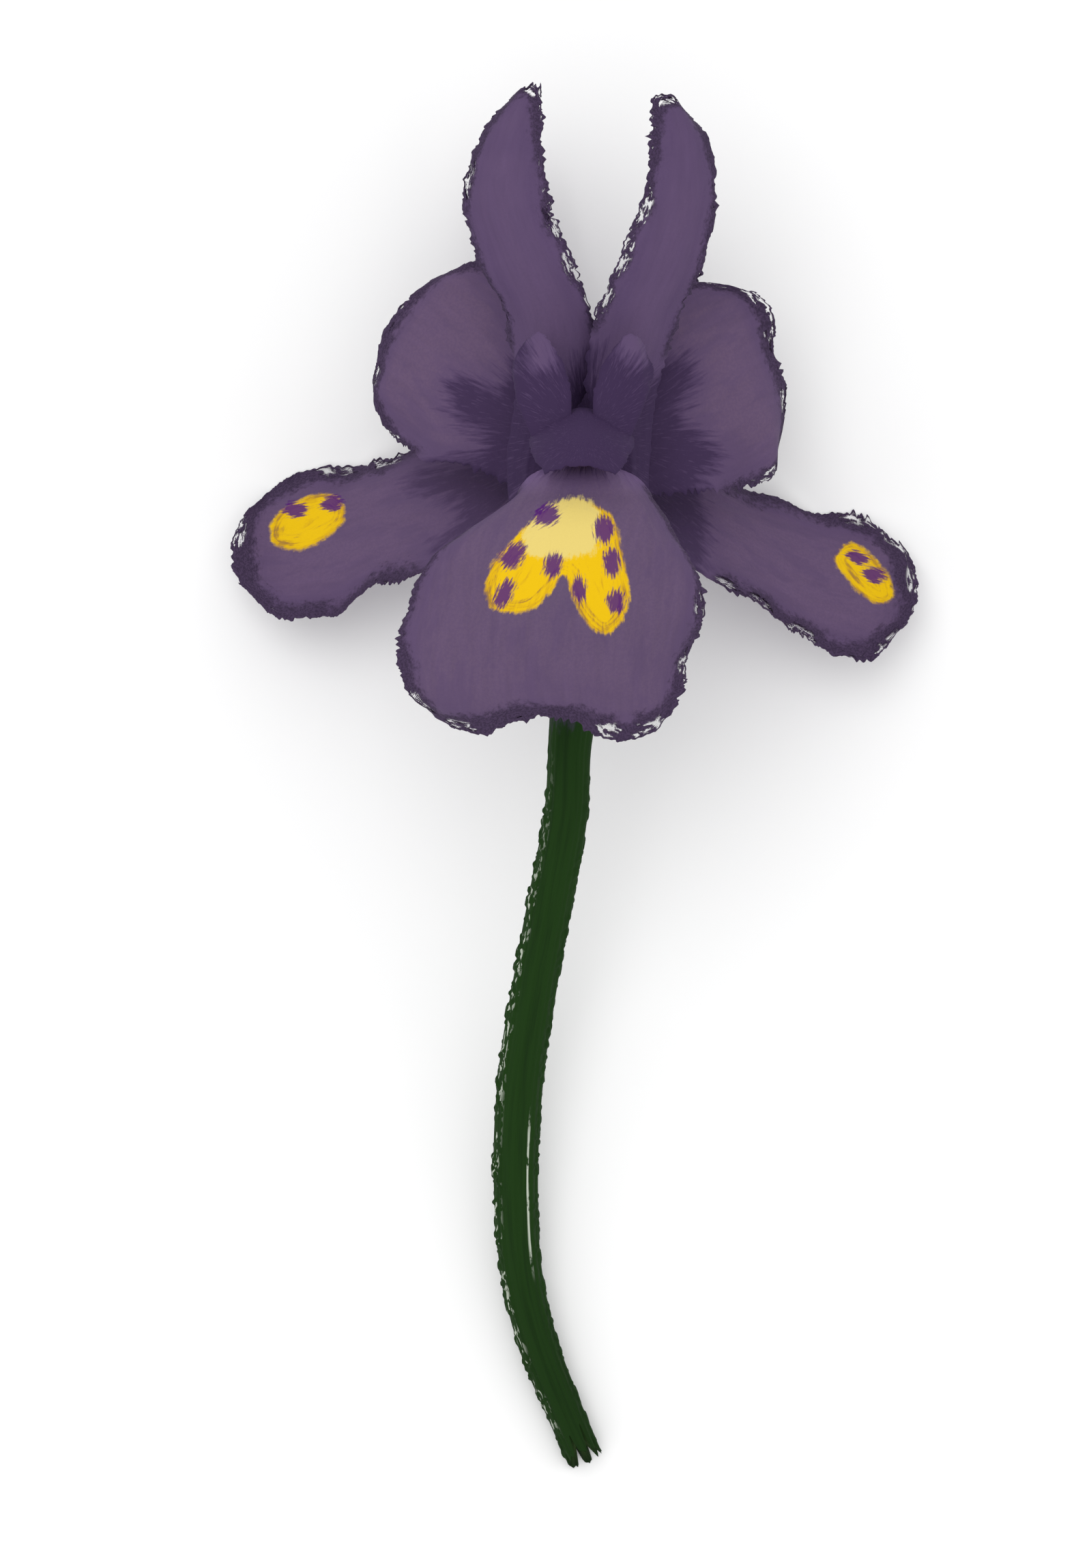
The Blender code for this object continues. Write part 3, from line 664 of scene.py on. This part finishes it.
# Stretches of the margins where the dry edge has worn through: x and y of the middle, and the radius.
WORN = [
    (-32.1, 23.0, 2.2), (-22.5, 29.2, 2.6), (-17.6, 29.6, 2.4), (13.5, 17.8, 2.2), (17.0, 15.8, 2.4),
    (21.0, 13.2, 2.4), (26.5, 24.4, 2.4), (30.2, 22.2, 2.6), (32.0, 18.6, 2.2), (29.5, 13.0, 2.4),
    (-14.3, 6.8, 2.2), (-11.0, 4.6, 2.4), (3.0, 4.8, 1.8), (6.8, 4.4, 2.6), (11.2, 16.2, 1.8),
    (10.4, 10.4, 1.8), (-2.4, 51.5, 2.4), (-0.6, 47.0, 2.4), (6.3, 52.4, 2.6), (4.4, 48.2, 2.6),
    (2.4, 44.4, 2.0), (-10.8, 55.6, 2.8), (8.6, 63.3, 2.2), (-4.0, 63.8, 1.4), (17.2, 45.2, 2.2),
    (19.3, 41.4, 2.6), (19.6, 35.2, 2.0), (18.3, 28.0, 1.8), (-17.4, 31.2, 1.6), (-18.8, 37.5, 1.6),
]


def worn_share(x, y):
    """1 in the middle of a worn stretch of margin, and 0 from its radius on."""
    share = np.zeros(len(x))
    for middle_x, middle_y, radius in WORN:
        away = np.hypot(x - middle_x, y - middle_y)
        share = np.maximum(share, 1 - ease(0.4 * radius, radius, away))
    return share


def rounded(outline):
    """The outline with its corners cut three times."""
    points = np.array(outline, float)
    for _ in range(3):
        after = np.roll(points, -1, axis=0)
        points = np.stack([0.75 * points + 0.25 * after, 0.25 * points + 0.75 * after], axis=1)
        points = points.reshape(-1, 2)
    return points


def inside_depth(x, y, outline):
    """Distance from each place to the outline, positive inside it and negative outside."""
    start = rounded(outline)
    nearest = np.full(len(x), 99.0)
    inside = np.zeros(len(x), bool)
    for (ax, ay), (bx, by) in zip(start, np.roll(start, -1, axis=0)):
        dx, dy = bx - ax, by - ay
        share = np.clip(((x - ax) * dx + (y - ay) * dy) / (dx**2 + dy**2), 0, 1)
        nearest = np.minimum(nearest, np.hypot(x - ax - share * dx, y - ay - share * dy))
        crosses = (ay > y) != (by > y)
        inside ^= crosses & (x < ax + (y - ay) * dx / (dy + 1e-12))
    return np.where(inside, nearest, -nearest)


def oval_place(x, y, middle, half_long, half_wide, lean):
    """Places along and across an oval in millimetres, and how deep each lies in it: 1 at its middle, 0
    on its edge and negative outside."""
    turn = math.radians(lean)
    u = (x - middle[0]) * math.cos(turn) + (y - middle[1]) * math.sin(turn)
    v = (y - middle[1]) * math.cos(turn) - (x - middle[0]) * math.sin(turn)
    return u, v, 1 - np.hypot(u / half_long, v / half_wide)


def patch_marks(x, y, inner, patch):
    """Attributes of a signal patch, on the inner face of a fall only. Those of the spots are the ones
    of the nearest spot."""
    hidden = np.where(inner > 0.5, 0.0, -9.0)
    spots = np.array([oval_place(x, y, *spot) for spot in patch["spots"]])
    nearest = np.argmax(spots[:, 2], axis=0)
    along, across, depth = spots[nearest, :, np.arange(len(x))].T
    marks = {
        "patch": inside_depth(x, y, patch["outline"]) + hidden,
        "spot": depth + hidden,
        "spot_along": along + 9 * nearest,
        "spot_across": across,
    }
    if "cap" in patch:
        marks["cap"] = inside_depth(x, y, patch["cap"]) + hidden
    return marks


def petal_finish(
    name, middle, margin, rim_width, patch=None, throat_share=1.0, pale_back=0.3, bend_tone_and_painted_light=0.0,
    frayed_holes=True,
):
    """The painted skin of a petal.

    From below upwards: a soft change from the middle to the margins, broad washes and fine mottling,
    strokes along the petal, the dark strokes of the throat with painted shade in its hollow, a paler bend
    that is partly painted light, the signal patch, the dry dark rim and the paler outer face.
    """
    finish = Finish(name, 0.66, Specular_IOR_Level=0.08)
    where = finish.node("ShaderNodeTexCoord", output="Object")
    x, y, z = finish.spot(where)
    rim = finish.mark("rim")
    reach = finish.mark("reach")
    width = finish.mark("width")
    cloud = finish.noise(finish.vector(x, y, z), 0.16, 2.0)
    swathes = finish.noise(finish.vector(rim * 1.3, reach * 0.1, width * 0.03), 1.0, 3.0)
    strokes = finish.noise(finish.vector(width * 1.5, reach * 0.22, z * 0.02), 1.0, 4.0, 0.6)
    grain = finish.noise(finish.vector(x, y, z), 3.6, 2.0, 0.6)
    inward = rim + (cloud - 0.5) * 5.0 + (swathes - 0.5) * 3.0
    colour = finish.blend(inward.step(0.4, 4.6), margin, middle)
    wash = finish.noise(finish.vector(width * 0.42, reach * 0.16, z * 0.02 + 5.0), 1.0, 3.0, 0.65)
    colour = finish.blend(wash.step(0.50, 0.64) * 0.55, colour, DUSK)
    colour = finish.blend(grain.step(0.42, 0.58) * 0.35, colour, DUSK)
    colour = finish.lighten(colour, 0.89 + strokes * 0.25)
    colour = lay_throat_streaks_and_shade(finish, colour, x, y, rim, throat_share)
    # The bend of the front fall is paler: partly its own paler tone, partly painted light that evens out the
    # shade under the front style arm.
    if bend_tone_and_painted_light:
        colour = finish.lighten(colour, 1.0 + finish.mark("bend") * bend_tone_and_painted_light)
    if patch:
        colour = lay_patch(finish, colour, x, y, patch)
    if rim_width:
        colour = lay_rim(finish, colour, rim, reach, width, rim_width)
    colour = finish.blend((1.0 - finish.mark("inner")) * pale_back, colour, PALE_BACK)
    finish.plug("Base Color", colour)
    finish.plug("Roughness", 0.58 + strokes * 0.16)
    finish.bump(strokes * 0.6 + grain * 0.4, 0.25)
    if frayed_holes:
        finish.plug("Alpha", dry_gaps(finish, rim, reach, width))
    return finish.material


def lay_throat_streaks_and_shade(finish, colour, x, y, rim, share):
    """Dark strokes that point away from the throat and break up into fine lines at their edges, with painted
    shade of the hollow in their deepest part, and painted shade on the petal margins between them. The
    share is how much of the paint a petal takes: less in the hollows, which are dark by themselves."""
    dx = x - THROAT_CENTRE[0]
    dy = y - THROAT_CENTRE[1]
    distance = finish.math("SQRT", dx * dx + dy * dy) + 0.3
    radial = finish.vector(dx / distance, dy / distance, distance * 0.011)
    lines = finish.noise(radial, 24.0, 4.0, 0.62)
    hairs = finish.noise(radial, 60.0, 3.0, 0.6)
    throat = finish.mark("throat")
    depth = throat + (lines - 0.5) * 4.4 + (hairs - 0.5) * 2.0
    halo = throat + (lines - 0.5) * 3.0
    colour = finish.blend(halo.step(-1.6, -0.2) * (0.6 * share), colour, HALO)
    colour = finish.blend(depth.step(-0.2, 0.5) * (0.85 * share), colour, STREAK)
    # The deepest strokes are streaks and painted shade of the throat's hollow.
    colour = finish.blend(depth.step(0.35, 1.35) * (0.95 * share), colour, THROAT_STREAK_AND_SHADE)
    colour = finish.blend(hairs.step(0.56, 0.68) * throat.step(-0.2, 0.6) * 0.45, colour, HALO)
    # Painted shade on the petal margins inside the throat, where the petals meet and overlap.
    margin = (1.0 - rim.step(0.05, 0.6)) * throat.step(-0.6, 0.6)
    return finish.blend(margin * 0.9, colour, THROAT_STREAK_AND_SHADE)


def lay_patch(finish, colour, x, y, patch):
    """A yellow patch of dry strokes, some around its outline and some that spread from its fan's point,
    with its pale cap and its purple spots."""
    dx = x - patch["fan"][0]
    dy = y - patch["fan"][1]
    distance = finish.math("SQRT", dx * dx + dy * dy)
    fan = finish.vector(dx / distance * 34.0, dy / distance * 34.0, distance * 0.32)
    spread = finish.noise(fan, 1.0, 4.0, 0.65)
    rough = finish.noise(finish.vector(x, y, 0.0), 1.3, 4.0, 0.65)
    depth = finish.mark("patch")
    around = finish.noise(finish.vector(depth * 2.6, x * 0.3, y * 0.3), 1.0, 4.0, 0.65)
    strokes = spread * 0.4 + around * 0.6
    yellow = finish.blend((strokes + depth.step(0.0, 2.2) * 0.14).step(0.42, 0.60), DEEP_YELLOW, YELLOW)
    thin = (1.0 - strokes.step(0.38, 0.48)) * (1.0 - depth.step(0.5, 2.0))
    yellow = finish.blend(thin * 0.75, yellow, BROWN)
    edge = depth + (spread - 0.5) * 0.9 + (rough - 0.5) * 0.7
    colour = finish.blend(edge.step(-0.10, 0.30), colour, yellow)
    if "cap" in patch:
        cap = finish.mark("cap") + (rough - 0.5) * 1.6 + (spread - 0.5) * 1.6
        colour = finish.blend(cap.step(-0.15, 0.45) * 0.93, colour, CREAM)
    bristles = finish.noise(
        finish.vector(finish.mark("spot_along") * 0.8, finish.mark("spot_across") * 5.0, 3.0), 1.0, 3.0, 0.65
    )
    spot = finish.mark("spot") * 1.5 + (bristles - 0.5) * 3.4 + (rough - 0.5) * 0.6
    return finish.blend(spot.step(-0.25, 0.45) * 0.93, colour, SPOT)


def clear_of_throat(finish):
    """1 where no dark stroke covers the skin, and 0 in the throat."""
    return 1.0 - finish.mark("throat").step(-1.4, -0.3)


def lay_rim(finish, colour, rim, reach, width, rim_width):
    """A dry dark rim that dissolves into blotches towards the petal, wider at its end and where it is
    worn."""
    skin = finish.vector(width, reach, rim)
    blotches = finish.noise(skin, 1.6, 4.0, 0.7)
    broad = finish.noise(skin, 0.22, 2.0)
    wide = finish.mark("along").step(0.7, 1.0) * 0.6 + finish.mark("worn") * 0.5
    ragged = (blotches - 0.5) * 2.6 + (broad - 0.5) * 2.0 - wide
    dark = 1.0 - (rim + ragged * rim_width).step(rim_width * 0.3, rim_width * 1.2)
    speckles = finish.noise(skin, 4.5, 3.0, 0.65).step(0.42, 0.58)
    return finish.blend(dark * clear_of_throat(finish) * (0.60 + speckles * 0.35), colour, RIM)


def dry_gaps(finish, rim, reach, width):
    """Gaps just inside the margin, where the dry edge has frayed: long and many where it is worn, and
    few and small elsewhere."""
    worn = finish.mark("worn")
    grains = finish.noise(finish.vector(rim * 2.8, reach * 0.8, width * 0.8), 1.0, 5.0, 0.7)
    gaps = (grains + worn * 0.13).step(0.61, 0.65)
    band = rim.step(0.06, 0.14) * (1.0 - (rim - worn * 0.6).step(0.35, 0.8))
    return 1.0 - band * gaps * clear_of_throat(finish)


def stem_finish():
    """Deep green skin with darker bands along it, pale flecks at the left edge and along one line on the
    right, on its upper side only, that are fibres standing off and painted sheen, darker towards the cut
    end and dusky purple at the top."""
    finish = Finish("green_stem", 0.7, Specular_IOR_Level=0.08)
    where = finish.node("ShaderNodeTexCoord", output="Object")
    _, y, _ = finish.spot(where)
    side = finish.mark("side")
    front = finish.mark("front")
    reach = finish.mark("reach")
    bands = finish.noise(finish.vector(side * 3.0, front * 3.0, reach * 0.06), 1.0, 4.0, 0.65)
    dashes = finish.noise(finish.vector(side * 4.4, front * 4.4, reach * 0.75), 1.0, 3.0, 0.6)
    colour = finish.blend(bands.step(0.30, 0.56), STEM_SHADE, GREEN)
    left = (0.0 - side).step(0.60, 0.90) * reach.step(1.0, 4.0) * (1.0 - reach.step(50.0, 72.0))
    from_line = finish.math("ABSOLUTE", side - 0.56 + (bands - 0.5) * 0.3)
    line = (1.0 - from_line.step(0.02, 0.07)) * reach.step(17.0, 21.0) * (1.0 - reach.step(31.0, 35.0))
    # Pale flecks and one line, on the upper side only: fibres that stand off, and painted sheen.
    flecks_and_sheen = finish.math("MAXIMUM", left * dashes.step(0.56, 0.60), line * dashes.step(0.40, 0.50))
    colour = finish.blend(flecks_and_sheen * front.step(0.15, 0.35) * 0.85, colour, FLECK_AND_SHEEN)
    colour = finish.lighten(colour, 0.80 + reach.step(0.0, 30.0) * 0.16)
    purple = (y + (dashes - 0.5) * 7.0).step(4.0, 8.5)
    colour = finish.blend(purple * 0.9, colour, STREAK)
    colour = finish.blend(finish.mark("cut") * 0.7, colour, CUT_GREEN)
    finish.plug("Base Color", colour)
    finish.bump(bands * 0.7 + dashes * 0.3, 0.35)
    return finish.material


def stamen_finish():
    """A pale violet filament and a cream anther with grains of pollen."""
    finish = Finish("stamen", 0.75)
    along = finish.mark("along")
    where = finish.node("ShaderNodeTexCoord", output="Object")
    grains = finish.node("ShaderNodeTexVoronoi", (), {"Vector": where, "Scale": 6000.0}, "Distance")
    pollen = finish.blend(grains.step(0.1, 0.6), paint(244, 226, 160), paint(214, 180, 92))
    finish.plug("Base Color", finish.blend(along.step(0.74, 0.80), paint(120, 96, 132), pollen))
    finish.bump(1.0 - grains, 0.5, 0.0002)
    return finish.material


# Pieces


def add_petal(name, node, slot, finish, stations, rows, columns, patch=None, **shape):
    """A petal with its throat, worn and patch attributes, standing for its solid. The front fall takes
    up the dark strokes only at the top of its bend, and they fade up the standards."""
    vertices, faces, marks = petal_shell(stations, rows, columns, **shape)
    x, y = vertices[:, 0], vertices[:, 1]
    if node == "fall_front":
        marks["throat"] = np.clip((y - 28.0) / 1.3, -3.0, 0.5)
        # Where the front fall's bend is painted paler: partly its own tone, partly painted light against the
        # shade under the front style arm.
        marks["bend"] = ease(25.5, 28.5, y)
    else:
        marks["throat"] = np.minimum(inside_depth(x, y, THROAT_OUTLINE) / STROKE_DEPTH, DEEPEST)
    if "standard" in node:
        marks["throat"] = marks["throat"] - 1.4 * ease(33.5, 38.0, y)
    marks["worn"] = worn_share(x, y)
    if patch:
        on_blade = marks["inner"] * (marks["along"] > 0.4)
        marks.update(patch_marks(x, y, on_blade, patch))
    return place(name, build_mesh(name, vertices, faces, marks), finish, slot, node)


def build_falls():
    """The broad front fall, and the two that reach out to the sides."""
    dusky, dusky_margin = paint(100, 80, 110), paint(88, 70, 102)
    for name, node, stations, columns, patch, finish, shape in (
        (
            "front_fall", "fall_front", FALL_FRONT, 150, FRONT_PATCH,
            petal_finish("front_fall", paint(99, 80, 108), DUSK, 1.15, FRONT_PATCH, bend_tone_and_painted_light=0.85),
            {"ripple": (0.6, 3.5), "phase": 1.2, "lobes": 1.8, "veins": 6, "seed": 11},
        ),
        (
            "left_fall", "fall_left", FALL_LEFT, 90, LEFT_PATCH,
            petal_finish("left_fall", dusky, dusky_margin, 1.6, LEFT_PATCH, throat_share=0.55),
            {"ripple": (0.35, 4.0), "phase": 0.6, "veins": 4, "seed": 12},
        ),
        (
            "right_fall", "fall_right", FALL_RIGHT, 90, RIGHT_PATCH,
            petal_finish("right_fall", dusky, dusky_margin, 1.6, RIGHT_PATCH, throat_share=0.75),
            {"ripple": (0.35, 4.0), "phase": 2.4, "veins": 4, "seed": 13},
        ),
    ):
        add_petal(name, node, "petal", finish, stations, 235, columns, patch, **shape)


def build_standards():
    finish = petal_finish("standard", paint(94, 75, 107), paint(86, 68, 101), 0.9, pale_back=0.0)
    for name, node, stations, phase, seed in (
        ("left_standard", "standard_left", STANDARD_LEFT, -0.9, 21),
        ("right_standard", "standard_right", STANDARD_RIGHT, -2.0, 22),
        ("rear_standard", "standard_rear", STANDARD_REAR, 0.4, 23),
    ):
        add_petal(
            name, node, "petal", finish, stations, 240, 48,
            ripple=(0.35, 3.0), phase=phase, veins=3, seed=seed,
        )


def build_style():
    finish = petal_finish("style_arm", MAUVE, DUSK, 1.0, throat_share=0.82)
    for name, node, stations, phase, lobes, seed in (
        ("left_style_arm", "style_left", STYLE_LEFT, 0.2, 0.0, 31),
        ("right_style_arm", "style_right", STYLE_RIGHT, 1.7, 1.0, 32),
    ):
        add_petal(
            name, node, "style", finish, stations, 210, 96,
            ripple=(0.5, 3.5), phase=phase, lobes=lobes, veins=5, seed=seed,
        )
    crest = petal_finish("crest", MAUVE, HALO, 0.0, pale_back=0.0, frayed_holes=False)
    # The front style arm and its crests lie in the throat and take its dark strokes and painted shade.
    for name, stations, rows, columns, seed in (
        ("front_style_arm", STYLE_FRONT, 150, 48, 33),
        ("left_crest", CREST_LEFT, 80, 36, 34),
        ("right_crest", CREST_RIGHT, 80, 36, 35),
    ):
        add_petal(name, "style_front", "style", crest, stations, rows, columns, veins=2, fray=0.5, seed=seed)


def build_stem():
    """The stem: rings along the middle line, whose radius is swelled by sines around it as ribs and by
    knots of rough fibre on its left and right edges, and a cut end split into strands."""
    draw = np.random.default_rng(41)
    rings, sides = 700, 108
    shares = np.linspace(0, 1, rings)
    path = smooth_through(STEM, shares)
    turn = 2 * math.pi * np.arange(sides) / sides
    ribs = sum(
        0.012 * np.sin(count * turn[None, :] + 6 * draw.random() + 2.0 * np.sin(5 * shares[:, None]))
        for count in (7, 11, 18, 27)
    )
    steps = np.linalg.norm(np.diff(path[:, :3], axis=0), axis=1)
    reach = np.concatenate([[0.0], np.cumsum(steps)])[:, None]
    knots = wander(reach + 1.5 * turn, 0.5, draw) + wander(reach - 1.9 * turn, 0.6, draw)
    edges = 0.11 * ease(0.3, 1.0, -np.cos(turn)) ** 2 + 0.07 * ease(0.3, 1.0, np.cos(turn)) ** 2
    fibres = edges * np.clip(knots, 0, 1) * (1 - ease(62, 72, reach))
    splits = sum(
        deep * np.exp(-((np.angle(np.exp(1j * (turn - math.radians(middle)))) / SPLIT_WIDTH) ** 2))
        for middle, deep in SPLITS
    )
    teeth = 0.35 * np.abs(wander(turn, 0.19, draw)) - STRAND_LENGTH
    ragged = splits * np.exp(-reach / SPLIT_FADE) + teeth * np.exp(-reach / TEETH_FADE)
    slant = CUT_SLANT * path[:, 3:4] * np.sin(turn)[None, :] * np.exp(-reach / TEETH_FADE)
    vertices, faces = ring_tube(path[:, :3], path[:, 3], sides, 1 + ribs + fibres, ragged + slant)
    vertices[-2] += HOLLOW * unit(path[1, :3] - path[0, :3])
    vertices[:, 2] = np.maximum(vertices[:, 2], 0.0)
    marks = {
        "reach": np.append(np.repeat(reach, sides), [0.0, reach[-1, 0]]),
        "side": np.append(np.tile(np.cos(turn), rings), [0.0, 0.0]),
        "front": np.append(np.tile(np.sin(turn), rings), [0.0, 0.0]),
        "cut": np.append(np.zeros(rings * sides), [1.0, 0.0]),
    }
    place("stem_skin", build_mesh("stem_skin", vertices, faces, marks), stem_finish(), "stem", "stem")


def build_stamens():
    """Filaments that widen into anthers with two lobes."""
    finish = stamen_finish()
    rings, sides = 90, 20
    shares = np.linspace(0, 1, rings)
    turn = 2 * math.pi * np.arange(sides) / sides
    anther = ease(0.72, 0.80, shares)[:, None]
    swell = 1 + 0.2 * anther * np.cos(2 * turn)[None, :]
    for name, node, points in (
        ("front_stamen", "stamen_front", STAMEN_FRONT),
        ("left_stamen", "stamen_left", STAMEN_LEFT),
        ("right_stamen", "stamen_right", STAMEN_RIGHT),
    ):
        path = smooth_through([(*p, r) for p, r in zip(points, STAMEN_RADII)], shares)
        vertices, faces = ring_tube(path[:, :3], path[:, 3], sides, swell)
        marks = {"along": np.append(np.repeat(shares, sides), [0.0, 1.0])}
        place(name, build_mesh(name, vertices, faces, marks), finish, "stamen", node)


# Stage


def build_floor():
    mesh = bpy.data.meshes.new("floor")
    half = 4.0
    corners = [(-half, -half, 0), (half, -half, 0), (half, half, 0), (-half, half, 0)]
    mesh.from_pydata([(x, y, -0.0001) for x, y, _ in corners], [], [(0, 1, 2, 3)])
    finish = Finish("floor", 0.9, Base_Color=(0.94, 0.94, 0.94, 1.0), Specular_IOR_Level=0.1)
    mesh.materials.append(finish.material)
    floor = bpy.data.objects.new("floor", mesh)
    bpy.context.scene.collection.objects.link(floor)


def add_area_light(name, location, aim, size, power):
    lamp = bpy.data.lights.new(name, "AREA")
    lamp.shape = "DISK"
    lamp.size = size
    lamp.energy = power
    made = bpy.data.objects.new(name, lamp)
    bpy.context.scene.collection.objects.link(made)
    made.location = location
    made.rotation_euler = (Vector(aim) - Vector(location)).to_track_quat("-Z", "Y").to_euler()


def build_light():
    world = bpy.data.worlds.new("studio")
    bpy.context.scene.world = world
    world.use_nodes = True
    background = world.node_tree.nodes["Background"]
    background.inputs["Color"].default_value = (1.0, 1.0, 1.0, 1.0)
    background.inputs["Strength"].default_value = 1.0
    add_area_light("key", (-0.35, 0.5, 1.5), (0, 0.01, 0.02), 1.1, 5.4)


def build_camera():
    """Straight above the flower, far enough away that the raised petals keep their proportions. The
    scale of the picture holds at one level above the floor."""
    lens, sensor = 400.0, 36.0
    pixel = 65 / 1022
    picture_wide, picture_high = 1596, 2297
    view_high = picture_high * pixel
    level = 20.0
    centre_x = (picture_wide / 2 - 845) * pixel
    centre_y = (1138.5 - picture_high / 2) * pixel
    data = bpy.data.cameras.new("camera")
    data.lens = lens
    data.sensor_width = sensor
    data.sensor_fit = "AUTO"
    data.clip_start = 0.05
    data.clip_end = 50.0
    camera = bpy.data.objects.new("camera", data)
    bpy.context.scene.collection.objects.link(camera)
    distance = view_high * lens / sensor
    camera.location = (centre_x * MM, centre_y * MM, (level + distance) * MM)
    bpy.context.scene.camera = camera


def set_colours():
    settings = bpy.context.scene.view_settings
    settings.view_transform = "Standard"
    settings.look = "None"
    settings.exposure = 0.0
    settings.gamma = 1.0


build_camera()
build_light()
set_colours()
build_floor()
build_falls()
build_standards()
build_style()
build_stem()
build_stamens()
